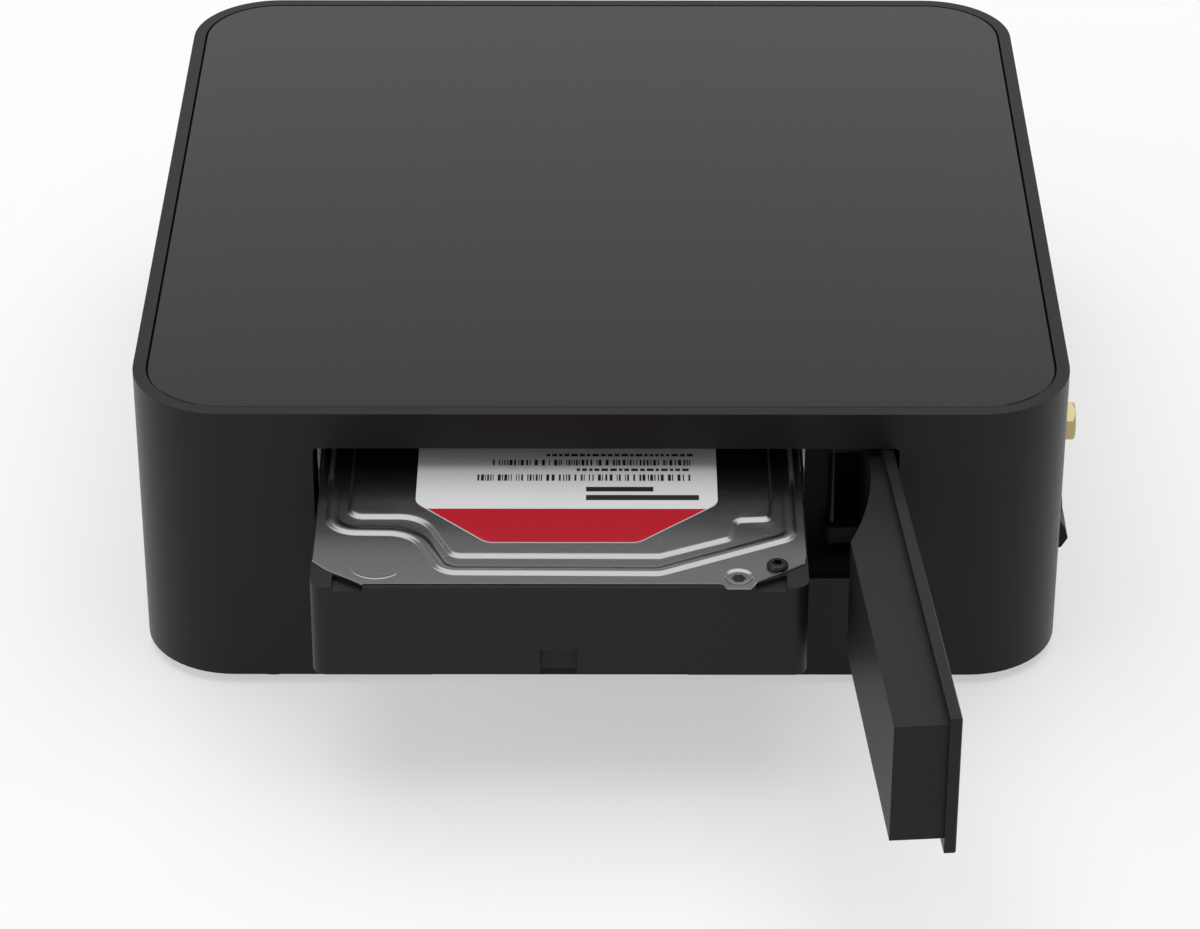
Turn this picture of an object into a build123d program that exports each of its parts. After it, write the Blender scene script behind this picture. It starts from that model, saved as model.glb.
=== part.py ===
"""Media player with a hard drive bay: casing, boards, fan, side door and a 3.5 inch hard drive.

Millimetres, +Z up. The model is built with the casing centred on X = Y = 0 and the feet on Z = 0.
The bay opens in the -Y side, the display and power button are on the -X side and the sockets are
on the +X side. The door stands open and the drive is pulled part of the way out.
"""
from build123d import *
from math import atan2, cos, degrees, radians, sin
import os

# ---------------------------------------------------------------- casing
case_width = 200.0
case_height = 66.0
foot_height = 2.5
foot_radius = 8.0
foot_inset = 3.0
foot_from_side = 28.3
corner_radius = 20.4
wall = 2.8
seam_gap = 0.25
top_thickness = 3.0
cover_thickness = 2.0
ledge_width = 2.2
ledge_height = 2.0
post_radius = 4.5
post_sink = 1.0
fit_gap = 0.3
slot_width = 3.0
slot_length = 36.0
slot_pitch = 12.0
slot_count = 9
slot_row = 34.0

# ---------------------------------------------------------------- bay opening in the -Y side
opening_left = -60.8
opening_width = 123.7
opening_height = 32.6
sill_height = 25.0
opening_corner = 1.0
jamb_land = 0.3
jamb_relief = 3.6
recess_depth = 13.6

# ---------------------------------------------------------------- hard drive (3.5 inch form)
drive_width = 101.6
drive_length = 147.0
drive_height = 26.1
drive_centre = -8.4
drive_lift = 0.9
slide_gap = 0.15
side_gap = 0.7
drive_docked_depth = 17.0
drive_pulled = 60.0
drive_corner = 3.0
rear_setback = 4.0
undercut_height = 3.6
undercut_depth = 8.0
undercut_lift = 0.35
corner_pad = 24.4
notch_left = 4.1
notch_right = 3.6
notch_height = 6.0
notch_depth = 2.0
pocket_outer = 4.5
pocket_inner = 10.9
pocket_outer_back = 4.75
pocket_inner_back = 1.5
pocket_depth = 0.95
board_recess_height = 4.0
board_recess_front = 12.0
rail_width = 6.0
rear_room = 36.0
dock_gap = 2.2

# ---------------------------------------------------------------- drive cover and label
# Outlines are (distance from the drive's left or right side, distance from its front, radius).
cover_flange = 0.4
cover_ridge = 0.48
cover_channel = 0.2
cover_crown = 0.7
ridge_width = 3.2
crown_setback = 5.0
cover_left = [(0.1, 9.4), (2.9, 6.2), (10.4, 1.0)]
cover_right = [(18.0, 1.0), (16.7, -0.6), (11.7, -0.6), (10.6, 1.6), (0.6, 8.6), (0.1, 11.0)]
ridge_left = [(1.8, 19.0, 7.0), (19.8, 18.6, 7.0), (26.0, 3.9, 6.0)]
ridge_right = [(30.1, 3.6, 5.0), (1.7, 17.4, 5.0)]
crown_left = [(7.4, 25.9, 2.5), (22.4, 25.9, 8.0), (29.2, 11.0, 2.2)]
crown_right = [(30.4, 10.9, 1.0), (16.2, 17.4, 1.4), (14.8, 24.6, 2.4), (8.0, 25.0, 0.9), (7.4, 33.0, 3.0)]
label_left = [(20.5, 30.4, 4.0), (35.6, 15.0, 4.0)]
label_right = [(34.6, 15.0, 4.0), (18.0, 30.0, 4.0)]
label_back = 104.0
label_thickness = 0.1
label_corner = 3.0
front_screw = (6.3, 7.3)
side_screw_inset = 4.6
middle_screw_from_back = 51.0
rear_screw_from_back = 7.5
drive_screw_head = 2.25
dish = (14.3, 3.4)
dish_hole_radius = 1.3

# ---------------------------------------------------------------- inside the drive
spindle_from_front = 51.5
disc_radius = 47.5
disc_thickness = 1.27
disc_count = 2
disc_pitch = 6.0
disc_first_height = 11.6
disc_clearance = 0.8
well_floor = 7.0
hub_radius = 12.5
shaft_radius = 3.0
running_gap = 0.05
pivot_from_side = 21.8
pivot_from_back = 34.0
well_from_front = 66.0
well_back_wall = 9.0
well_left_wall = 11.8
well_right_wall = 7.8
magnet_left = 16.0
magnet_right = 13.0
magnet_front = 10.5
magnet_back = 22.0
magnet_gap = 2.0
arm_tip_from_axis = 16.0
arm_thickness = 0.9
arm_hub_radius = 7.0
arm_rest_radius = 45.0
arm_inner_radius = 20.0

drive_board_thickness = 1.0
drive_chip_height = 1.2
# Each chip: distance from the middle, distance from the drive's back, size.
drive_chip_places = [(-20.0, 55.0, 14.0), (12.0, 55.0, 11.0), (24.0, 31.0, 8.0), (-28.0, 25.0, 9.0)]

# ---------------------------------------------------------------- bay frame
bay_wall = 2.0
bay_floor = 2.0
bay_roof = 1.6
leg_size = 6.0
rail_size = 5.0
roof_hole_side = 20.8
roof_hole_front = 65.0
roof_hole_back = 11.2
roof_hole_corner = 6.0

# ---------------------------------------------------------------- door
hinge_depth = 11.0
hinge_from_jamb = 13.15
pin_radius = 1.0
door_gap = 0.35
door_side_gap = 0.4
door_open_angle = 94.5
plate_thickness = 2.4
block_thickness = 10.7
block_tip_inset = 1.0
block_top_inset = 2.0
block_bottom_inset = 2.9
block_tail = 9.0
neck_offset = 5.9
neck_end = 13.0
neck_mid = 30.3
neck_mid_offset = 2.9
neck_far = 43.5
lug_radius = 2.2
lug_height = 4.0
tail_sweep_gap = 0.8

# ---------------------------------------------------------------- -X side: display and button
window_width = 110.0
window_height = 18.0
window_thickness = 1.6
window_from_bay_side = 92.0
front_centre_height = 34.0
window_margin = 3.0
button_radius = 6.0
button_from_back = 32.0
button_proud = 0.8
button_travel = 1.2
button_gap = 0.2
front_board_setback = 14.0
front_board_height = 22.0
board_thickness = 1.6
display_width = 88.0
display_height = 15.0
display_thickness = 5.4
display_base = 1.6
display_rim = 1.5

# ---------------------------------------------------------------- main board
main_board_width = 91.0
main_board_setback = 9.0
main_board_from_bay_side = 22.0
main_board_leg_gap = 1.2
standoff_height = 7.5
standoff_radius = 3.5
standoff_inset = 5.0
chip_size = 27.0
chip_height = 2.0
chip_from_left = 30.0
chip_from_bay_side = 90.0
memory_width = 8.0
memory_length = 11.0
memory_height = 1.2
memory_pitch = 16.0
memory_count = 4
memory_gap = 4.5
capacitor_radius = 4.0
capacitor_height = 9.0
capacitor_pitch = 12.0
capacitor_row = 40.0
bridge_size = 12.0
bridge_height = 1.4
bridge_from_chip = 20.0
heatsink_size = 28.0
heatsink_height = 8.0
fin_count = 9
fin_thickness = 1.2

# ---------------------------------------------------------------- +X side: sockets and switch
jack_from_bay_side = 33.0
jack_height = 44.6
jack_flats = 8.0
jack_reach = 3.3
jack_barrel_radius = 3.0
jack_bore_radius = 2.2
jack_contact_radius = 0.6
switch_height = 21.8
switch_size_z = 21.0
switch_size_y = 15.0
switch_proud = 0.4
switch_body_depth = 16.0
switch_tilt = 10.0
rocker_half_length = 7.6
rocker_width = 10.8
rocker_pivot_depth = 4.0
socket_wall = 0.7
socket_depth = 14.0
power_jack_from_bay_side = 50.0
network_from_bay_side = 69.0
usb_from_bay_side = 91.0
video_from_bay_side = 112.0
av_from_bay_side = 129.0
av_pitch = 12.0
av_count = 3
av_barrel_radius = 4.15
av_barrel_reach = 7.0
av_neck_radius = 3.7
av_neck_reach = 0.6
av_bore_radius = 1.7
av_block_depth = 9.0
av_wall = 2.5
av_height = 16.5

# ---------------------------------------------------------------- fan on the +Y side
fan_size = 50.0
fan_depth = 10.0
fan_bore_radius = 23.5
fan_hub_radius = 11.0
fan_tip_gap = 0.8
fan_shaft_radius = 1.0
fan_blades = 7
fan_blade_width = 7.0
fan_blade_pitch = 35.0
fan_height = 31.5
grille_slots = 9
grille_slot_width = 2.4

# ---------------------------------------------------------------- fasteners
screw_radius = 1.2
screw_head_radius = 2.4
screw_head_height = 1.1
screw_length = 8.0
screw_hole_gap = 0.05

# ---------------------------------------------------------------- worked-out places
case_depth = drive_docked_depth + drive_length + rear_room
case_bottom = foot_height
case_top = case_bottom + case_height
side_x = case_width / 2
side_y = case_depth / 2
inner_x = side_x - wall
inner_y = side_y - wall
floor_top = case_bottom + cover_thickness
post_offset = (corner_radius - wall - post_radius + post_sink) * sin(radians(45))
post_x = side_x - corner_radius + post_offset
post_y = side_y - corner_radius + post_offset

opening_right = opening_left + opening_width
opening_centre = opening_left + opening_width / 2
sill = case_bottom + sill_height
lintel = sill + opening_height
recess_back = -side_y + recess_depth

drive_front = -side_y + drive_docked_depth - drive_pulled
drive_bottom = sill + drive_lift
drive_left = drive_centre - drive_width / 2
drive_right = drive_centre + drive_width / 2
cover_seat = drive_height - cover_flange - cover_crown
pivot_side = drive_width / 2 - pivot_from_side
pivot_from_front = drive_length - pivot_from_back
pivot_span = ((pivot_from_front - spindle_from_front) ** 2 + pivot_side ** 2) ** 0.5
arm_reach = pivot_span - arm_tip_from_axis
tunnel_left = drive_left - side_gap
tunnel_right = drive_right + side_gap
bay_back = -side_y + drive_docked_depth + drive_length + dock_gap

hinge_x = opening_right - hinge_from_jamb
hinge_y = -side_y + hinge_depth
door_length = hinge_x - opening_left - door_side_gap
door_tail = hinge_from_jamb - door_side_gap
plate_bottom = sill + door_gap
plate_top = lintel - door_gap
block_bottom = plate_bottom + block_bottom_inset
block_top = plate_top - block_top_inset
plate_inner = hinge_depth - plate_thickness
block_inner = plate_inner - block_thickness
sweep_radius = (door_tail ** 2 + hinge_depth ** 2) ** 0.5 + tail_sweep_gap

window_centre_y = -side_y + window_from_bay_side
button_y = side_y - button_from_back
front_z = case_bottom + front_centre_height
front_board_x = -inner_x + front_board_setback
board_z = floor_top + standoff_height
board_top = board_z + board_thickness
main_board_x = side_x - main_board_setback - main_board_width
main_board_front_y = -side_y + main_board_from_bay_side
main_board_depth = bay_back - leg_size - main_board_leg_gap - main_board_front_y
chip_x = main_board_x + chip_from_left
chip_y = -side_y + chip_from_bay_side
av_first_y = -side_y + av_from_bay_side

jack_y = -side_y + jack_from_bay_side
jack_z = case_bottom + jack_height
switch_z = case_bottom + switch_height
fan_x = drive_centre
fan_z = case_bottom + fan_height
fan_inner = inner_y - fan_depth


# ---------------------------------------------------------------- shapes used again and again
def block(x0, x1, y0, y1, z0, z1):
    """A box between two corners."""
    return Pos((x0 + x1) / 2, (y0 + y1) / 2, (z0 + z1) / 2) * Box(x1 - x0, y1 - y0, z1 - z0)


def slab(width, depth, radius, z0, z1, x=0.0, y=0.0):
    """A flat plate with round vertical corners."""
    return Pos(x, y, z0) * extrude(RectangleRounded(width, depth, radius), amount=z1 - z0)


def rod_z(radius, z0, z1, x, y):
    return Pos(x, y, (z0 + z1) / 2) * Cylinder(radius, z1 - z0)


def rod_x(radius, x0, x1, y, z):
    return Pos((x0 + x1) / 2, y, z) * Rot(0, 90, 0) * Cylinder(radius, x1 - x0)


def rod_y(radius, y0, y1, x, z):
    return Pos(x, (y0 + y1) / 2, z) * Rot(90, 0, 0) * Cylinder(radius, y1 - y0)


def tile_y(width, height, radius, y0, y1, x, z):
    """A plate facing Y, with round corners."""
    face = RectangleRounded(width, height, radius)
    return Pos(x, (y0 + y1) / 2, z) * Rot(90, 0, 0) * extrude(face, amount=(y1 - y0) / 2, both=True)


def tile_x(width, height, radius, x0, x1, y, z):
    """A plate facing X, with round corners."""
    face = RectangleRounded(height, width, radius)
    return Pos((x0 + x1) / 2, y, z) * Rot(0, 90, 0) * extrude(face, amount=(x1 - x0) / 2, both=True)


def prism(points, z0, z1):
    """An upright prism on a closed outline of X, Y points."""
    outline = make_face(Polyline(*points, close=True))
    return Pos(0, 0, z0) * extrude(outline, amount=z1 - z0)


def screw(x, y, z_seat, length, up=True):
    """A pan head screw whose head bears on z_seat and whose shank runs up or down."""
    way = 1 if up else -1
    head = rod_z(screw_head_radius, *sorted((z_seat - way * screw_head_height, z_seat)), x, y)
    shank = rod_z(screw_radius, *sorted((z_seat, z_seat + way * length)), x, y)
    return head + shank


def four_corners(dx, dy, x=0.0, y=0.0):
    return [(x + sx * dx, y + sy * dy) for sx in (-1, 1) for sy in (-1, 1)]


# ---------------------------------------------------------------- casing pieces
def jamb_relief_cut():
    """Slanted clearance behind the right edge of the opening, where the door's tail swings in."""
    y_land = -side_y + jamb_land
    y_deep = -inner_y + 0.5
    points = [
        (opening_right - 1.0, y_land),
        (opening_right, y_land),
        (opening_right + jamb_relief, y_land + jamb_relief),
        (opening_right + jamb_relief, y_deep + jamb_relief),
        (opening_right - 1.0, y_deep + jamb_relief),
    ]
    return prism(points, sill, lintel)


def socket_places():
    """Each socket's name with its place, width, height and the height of its lower edge."""
    return {
        "power_jack": (-side_y + power_jack_from_bay_side, 9.0, 11.0),
        "network_socket": (-side_y + network_from_bay_side, 16.0, 13.5),
        "usb_sockets": (-side_y + usb_from_bay_side, 14.5, 15.6),
        "video_socket": (-side_y + video_from_bay_side, 15.4, 6.0),
    }


def housing_shell():
    outer = slab(case_width, case_depth, corner_radius, case_bottom, case_top)
    inner = slab(2 * inner_x, 2 * inner_y, corner_radius - wall, case_bottom, case_top)
    shell = outer - inner
    ledge_band = slab(2 * inner_x, 2 * inner_y, corner_radius - wall, 0, ledge_height)
    ledge_hole = slab(
        2 * (inner_x - ledge_width),
        2 * (inner_y - ledge_width),
        corner_radius - wall - ledge_width,
        0,
        ledge_height,
    )
    ledge = ledge_band - ledge_hole
    shell += Pos(0, 0, case_top - top_thickness - ledge_height) * ledge
    shell += Pos(0, 0, floor_top) * ledge
    for x, y in four_corners(post_x, post_y):
        post = rod_z(post_radius, floor_top, case_top - top_thickness, x, y)
        shell += post - rod_z(screw_radius + screw_hole_gap, floor_top, floor_top + screw_length + 1, x, y)
    for y in boss_places():
        boss = rod_x(3.0, -inner_x, front_board_x, y, front_z - front_board_height / 2 + 4)
        shell += boss
    shell -= tile_y(opening_width, opening_height, opening_corner, -side_y - 1, -inner_y + 1,
                    opening_centre, (sill + lintel) / 2)
    shell -= jamb_relief_cut()
    shell -= tile_x(window_width + 2 * seam_gap, window_height + 2 * seam_gap, 2.0 + seam_gap,
                    -side_x - 1, -side_x + window_thickness, window_centre_y, front_z)
    shell -= tile_x(window_width - 2 * window_margin, window_height - 2 * window_margin, 1.0,
                    -side_x - 1, -inner_x + 1, window_centre_y, front_z)
    shell -= rod_x(button_radius + button_gap, -side_x - 1, -inner_x + 1, button_y, front_z)
    for y, width, height in socket_places().values():
        shell -= block(inner_x - 1, side_x + 1, y - width / 2 - fit_gap, y + width / 2 + fit_gap,
                       board_top - fit_gap, board_top + height + fit_gap)
    for index in range(av_count):
        y = av_first_y + index * av_pitch
        shell -= rod_x(av_barrel_radius + fit_gap, inner_x - 1, side_x + 1, y, board_top + av_height / 2)
    shell -= rod_x(jack_barrel_radius + 0.1, inner_x - 1, side_x + 1, jack_y, jack_z)
    shell -= tile_x(switch_size_y - 2.0 + 2 * seam_gap, switch_size_z - 2.0 + 2 * seam_gap, 1.0,
                    inner_x - 1, side_x + 1, jack_y, switch_z)
    pitch = 2 * fan_bore_radius / grille_slots
    for index in range(grille_slots):
        offset = (index - (grille_slots - 1) / 2) * pitch
        half = (fan_bore_radius ** 2 - offset ** 2) ** 0.5
        shell -= tile_y(grille_slot_width, 2 * half - 1.5, grille_slot_width / 2 - 0.01,
                        inner_y - 1, side_y + 1, fan_x + offset, fan_z)
    return shell


def boss_places():
    """Y of the two bosses that carry the front board."""
    return (window_centre_y - window_width / 2 - 5.0, button_y + 13.0)


def top_panel():
    panel = slab(2 * (inner_x - seam_gap), 2 * (inner_y - seam_gap), corner_radius - wall - seam_gap,
                 case_top - top_thickness, case_top)
    return chamfer(panel.faces().sort_by(Axis.Z)[-1].edges(), 0.3)


def bottom_cover():
    cover = slab(2 * (inner_x - seam_gap), 2 * (inner_y - seam_gap), corner_radius - wall - seam_gap,
                 case_bottom, floor_top)
    for x, y in four_corners(post_x, post_y):
        cover -= rod_z(screw_radius + screw_hole_gap, case_bottom - 1, floor_top + 1, x, y)
        cover -= rod_z(screw_head_radius + fit_gap, case_bottom - 1, case_bottom + screw_head_height, x, y)
    for row in (-1, 1):
        for index in range(slot_count):
            x = (index - (slot_count - 1) / 2) * slot_pitch
            cover -= slab(slot_width, slot_length, slot_width / 2 - 0.01, case_bottom, floor_top,
                          x, row * slot_row)
    for x, y in standoff_places():
        post = rod_z(standoff_radius, floor_top, board_z, x, y)
        cover += post - rod_z(screw_radius + screw_hole_gap, board_z - 6.0, board_z, x, y)
    return cover


def cover_screws():
    seat = case_bottom + screw_head_height
    return [screw(x, y, seat, screw_length) for x, y in four_corners(post_x, post_y)]


def rubber_feet():
    x = side_x - foot_from_side
    y = side_y - foot_inset - foot_radius
    feet = []
    for foot_x, foot_y in four_corners(x, y):
        foot = rod_z(foot_radius, 0, foot_height, foot_x, foot_y)
        feet.append(fillet(foot.faces().sort_by(Axis.Z)[0].edges(), 0.6))
    return feet


# ---------------------------------------------------------------- -X side pieces
def display_window():
    return tile_x(window_width, window_height, 2.0, -side_x, -side_x + window_thickness,
                  window_centre_y, front_z)


def front_board():
    low_y, high_y = boss_places()
    board = block(front_board_x, front_board_x + board_thickness, low_y - 5.0, high_y + 5.0,
                  front_z - front_board_height / 2, front_z + front_board_height / 2)
    for y in boss_places():
        board -= rod_x(screw_radius + screw_hole_gap, front_board_x - 1, front_board_x + 3, y,
                       front_z + front_board_height / 2 - 4)
    return board


def display_module():
    glass_x = front_board_x - display_base
    glass = tile_x(display_width, display_height, 0.5, glass_x - display_thickness, glass_x,
                   window_centre_y, front_z)
    base = tile_x(display_width - 2 * display_rim, display_height - 2 * display_rim, 0.5,
                  glass_x, front_board_x, window_centre_y, front_z)
    return glass + base


def ir_receiver():
    y = window_centre_y - window_width / 2 + 6.0
    body = block(front_board_x - 4.0, front_board_x, y - 3.0, y + 3.0, front_z - 3.4, front_z + 3.4)
    lens = Pos(front_board_x - 4.0, y, front_z) * Sphere(2.3)
    return body + lens


def button_switch():
    """The push switch on the front board, behind the power button."""
    reach = front_board_setback - wall - button_travel - 1.5
    body = block(front_board_x - 3.5, front_board_x, button_y - 3, button_y + 3, front_z - 3, front_z + 3)
    return body + rod_x(1.6, front_board_x - reach, front_board_x - 3.5, button_y, front_z)


def power_button():
    cap = rod_x(button_radius, -side_x - button_proud, -inner_x + 1.0, button_y, front_z)
    cap = fillet(cap.faces().sort_by(Axis.X)[0].edges(), 0.5)
    return cap + rod_x(button_radius + 1.2, -inner_x + 0.1, -inner_x + 1.0, button_y, front_z)


# ---------------------------------------------------------------- main board pieces
def standoff_places():
    x0 = main_board_x + standoff_inset
    x1 = main_board_x + main_board_width - standoff_inset - socket_depth
    y0 = main_board_front_y + standoff_inset
    y1 = main_board_front_y + main_board_depth - standoff_inset
    return [(x, y) for x in (x0, x1) for y in (y0, y1)]


def main_board():
    board = block(main_board_x, main_board_x + main_board_width, main_board_front_y,
                  main_board_front_y + main_board_depth, board_z, board_top)
    for x, y in standoff_places():
        board -= rod_z(screw_radius + 0.3, board_z - 1, board_top + 1, x, y)
    return board


def board_screws():
    return [screw(x, y, board_top, 5.5, up=False) for x, y in standoff_places()]


def board_chips():
    half = chip_size / 2
    chips = [block(chip_x - half, chip_x + half, chip_y - half, chip_y + half,
                   board_top, board_top + chip_height)]
    memory_x = chip_x - half - memory_gap
    for index in range(memory_count):
        y = chip_y + (index - (memory_count - 1) / 2) * memory_pitch
        chips.append(block(memory_x - memory_width, memory_x, y - memory_length / 2, y + memory_length / 2,
                           board_top, board_top + memory_height))
    for index in range(3):
        chips.append(rod_z(capacitor_radius, board_top, board_top + capacitor_height,
                           chip_x + (index - 1) * capacitor_pitch, chip_y + capacitor_row))
    bridge_x = chip_x + bridge_from_chip
    bridge_y = chip_y + bridge_from_chip
    chips.append(block(bridge_x, bridge_x + bridge_size, bridge_y, bridge_y + bridge_size,
                       board_top, board_top + bridge_height))
    return chips


def heatsink():
    half = heatsink_size / 2
    base_z = board_top + chip_height
    sink = block(chip_x - half, chip_x + half, chip_y - half, chip_y + half, base_z, base_z + 2.0)
    pitch = (2 * half - fin_thickness) / (fin_count - 1)
    for index in range(fin_count):
        x = chip_x - half + index * pitch
        sink += block(x, x + fin_thickness, chip_y - half, chip_y + half, base_z, base_z + heatsink_height)
    return sink


# ---------------------------------------------------------------- +X side pieces
def metal_socket(y, width, height, depth=socket_depth):
    """A sheet metal can on the board's edge, open towards +X."""
    can = block(side_x - depth, side_x, y - width / 2, y + width / 2, board_top, board_top + height)
    hole = block(side_x - depth + socket_wall, side_x + 1, y - width / 2 + socket_wall,
                 y + width / 2 - socket_wall, board_top + socket_wall, board_top + height - socket_wall)
    return can - hole


def video_socket():
    y, width, height = socket_places()["video_socket"]
    back = side_x - socket_depth + socket_wall
    middle = board_top + height / 2
    return metal_socket(y, width, height) + block(back - 0.2, side_x - 3, y - 5.5, y + 5.5,
                                                  middle - 0.6, middle + 0.6)


def usb_sockets():
    y, width, height = socket_places()["usb_sockets"]
    back = side_x - socket_depth + socket_wall
    can = block(side_x - socket_depth, side_x, y - width / 2, y + width / 2, board_top, board_top + height)
    for way in (-1, 1):
        z = board_top + height / 2 + way * 4.0
        can -= block(back, side_x + 1, y - 6.25, y + 6.25, z - 2.55, z + 2.55)
        can += block(back - 0.2, side_x - 1.5, y - 5.6, y + 5.6, z + 0.3, z + 2.1)
    return can


def network_socket():
    y, width, height = socket_places()["network_socket"]
    can = block(side_x - socket_depth - 4, side_x, y - width / 2, y + width / 2,
                board_top, board_top + height)
    mouth = block(side_x - socket_depth, side_x + 1, y - 6.0, y + 6.0, board_top + 1.5, board_top + 9.5)
    latch = block(side_x - socket_depth, side_x + 1, y - 3.2, y + 3.2, board_top + 9.0, board_top + 12.0)
    return can - mouth - latch


def power_jack():
    y, width, height = socket_places()["power_jack"]
    z = board_top + height / 2
    body = block(side_x - socket_depth, side_x, y - width / 2, y + width / 2, board_top, board_top + height)
    body -= rod_x(2.9, side_x - 10.0, side_x + 1, y, z)
    return body + rod_x(1.0, side_x - 10.5, side_x - 1.0, y, z)


def av_places():
    return [(av_first_y + index * av_pitch, board_top + av_height / 2) for index in range(av_count)]


def av_housing():
    """The black block behind the round jacks."""
    first = av_first_y - av_pitch / 2
    last = av_first_y + (av_count - 0.5) * av_pitch
    body = block(inner_x - av_block_depth, inner_x, first, last, board_top, board_top + av_height)
    for y, z in av_places():
        body -= rod_x(av_neck_radius, inner_x - av_block_depth + av_wall, inner_x + 1, y, z)
    return body


def av_jacks():
    """The barrels of the round jacks, necked where they pass the casing."""
    jacks = []
    back = inner_x - av_block_depth + av_wall
    end = side_x + av_barrel_reach
    for y, z in av_places():
        barrel = rod_x(av_neck_radius, back, end, y, z)
        barrel += rod_x(av_barrel_radius, side_x + av_neck_reach, end, y, z)
        jacks.append(barrel - rod_x(av_bore_radius, back + av_wall, end + 1, y, z))
    return jacks


def antenna_jack():
    corner = jack_flats / 2 / cos(radians(30))
    hexagon = Pos(side_x, jack_y, jack_z) * Rot(0, 90, 0) * extrude(
        RegularPolygon(corner, 6), amount=jack_reach)
    round_end = rod_x(corner, side_x, side_x + jack_reach, jack_y, jack_z)
    round_end = chamfer(round_end.faces().sort_by(Axis.X)[-1].edges(), 0.7)
    body = hexagon & round_end
    body += rod_x(jack_barrel_radius, inner_x - 8.0, side_x, jack_y, jack_z)
    body += rod_x(jack_barrel_radius + 2.0, inner_x - 2.0, inner_x, jack_y, jack_z)
    return body - rod_x(jack_bore_radius, inner_x - 9.0, side_x + jack_reach + 1, jack_y, jack_z)


def antenna_insulator():
    end = side_x + jack_reach - 0.8
    ring = rod_x(jack_bore_radius, inner_x - 8.0, end, jack_y, jack_z)
    return ring - rod_x(jack_contact_radius, inner_x - 9.0, end + 1, jack_y, jack_z)


def antenna_contact():
    return rod_x(jack_contact_radius, inner_x - 10.0, side_x + jack_reach - 1.2, jack_y, jack_z)


def rocker_pivot():
    return side_x - rocker_pivot_depth, switch_z


def rocker_frame():
    bezel = tile_x(switch_size_y, switch_size_z, 1.5, side_x, side_x + switch_proud, jack_y, switch_z)
    body = tile_x(switch_size_y - 2.0, switch_size_z - 2.0, 0.9, side_x - switch_body_depth, side_x,
                  jack_y, switch_z)
    frame = bezel + body
    half_y = rocker_width / 2 + fit_gap
    half_z = rocker_half_length + 1.2
    frame -= block(side_x - 9.0, side_x + switch_proud + 1, jack_y - half_y, jack_y + half_y,
                   switch_z - half_z, switch_z + half_z)
    x, z = rocker_pivot()
    return frame - rod_y(1.0 + running_gap, jack_y - half_y - 0.7, jack_y + half_y + 0.7, x, z)


def rocker():
    """The switch's rocker, at rest with its lower end out."""
    end = rocker_half_length
    upper = [(5.9, 2.6), (6.2, 5.3), (4.4, end - 0.2), (0.5, end), (-2.4, 3.0)]
    lower = [(x, -z) for x, z in reversed(upper)]
    profile = [(4.9, 0)] + upper + lower
    x, z = rocker_pivot()
    outline = make_face(Polyline(*profile, close=True))
    key = Rot(90, 0, 0) * extrude(outline, amount=rocker_width / 2, both=True)
    key += Rot(90, 0, 0) * Cylinder(1.0, rocker_width + 2 * fit_gap + 1.0)
    return Pos(x, jack_y, z) * Rot(0, -switch_tilt, 0) * key


# ---------------------------------------------------------------- fan pieces
def fan_frame():
    y0 = fan_inner
    frame = tile_y(fan_size, fan_size, 3.0, y0, inner_y, fan_x, fan_z)
    frame -= rod_y(fan_bore_radius, y0 - 1, inner_y + 1, fan_x, fan_z)
    motor = rod_y(fan_hub_radius - 2.0, y0, y0 + 1.2, fan_x, fan_z)
    for index in range(3):
        strut = block(0, fan_bore_radius + 1, y0, y0 + 1.2, -1.5, 1.5)
        motor += Pos(fan_x, 0, fan_z) * Rot(0, 90 + index * 120, 0) * strut
    motor += rod_y(fan_shaft_radius, y0 + 1.2, inner_y - 2.0, fan_x, fan_z)
    frame += motor
    for x, z in four_corners(fan_size / 2 - 4.5, fan_size / 2 - 4.5, fan_x, fan_z):
        frame -= rod_y(2.0, y0 - 1, inner_y + 1, x, z)
    return frame


def fan_rotor():
    y0 = fan_inner + 1.8
    y1 = inner_y - 1.0
    rotor = rod_y(fan_hub_radius, y0, y1, fan_x, fan_z)
    reach = fan_bore_radius - fan_tip_gap
    depth = y1 - y0
    for index in range(fan_blades):
        blade = Pos((fan_hub_radius + reach) / 2 - 1, 0, 0) * Rot(fan_blade_pitch, 0, 0) * Box(
            reach - fan_hub_radius + 2, 1.0, min(fan_blade_width, depth))
        blade = Rot(0, index * 360.0 / fan_blades, 0) * blade
        rotor += Pos(fan_x, (y0 + y1) / 2, fan_z) * blade
    rotor -= rod_y(fan_shaft_radius + running_gap, y0 - 1, inner_y - 1.9, fan_x, fan_z)
    return rotor & rod_y(reach, y0, y1, fan_x, fan_z)


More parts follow.
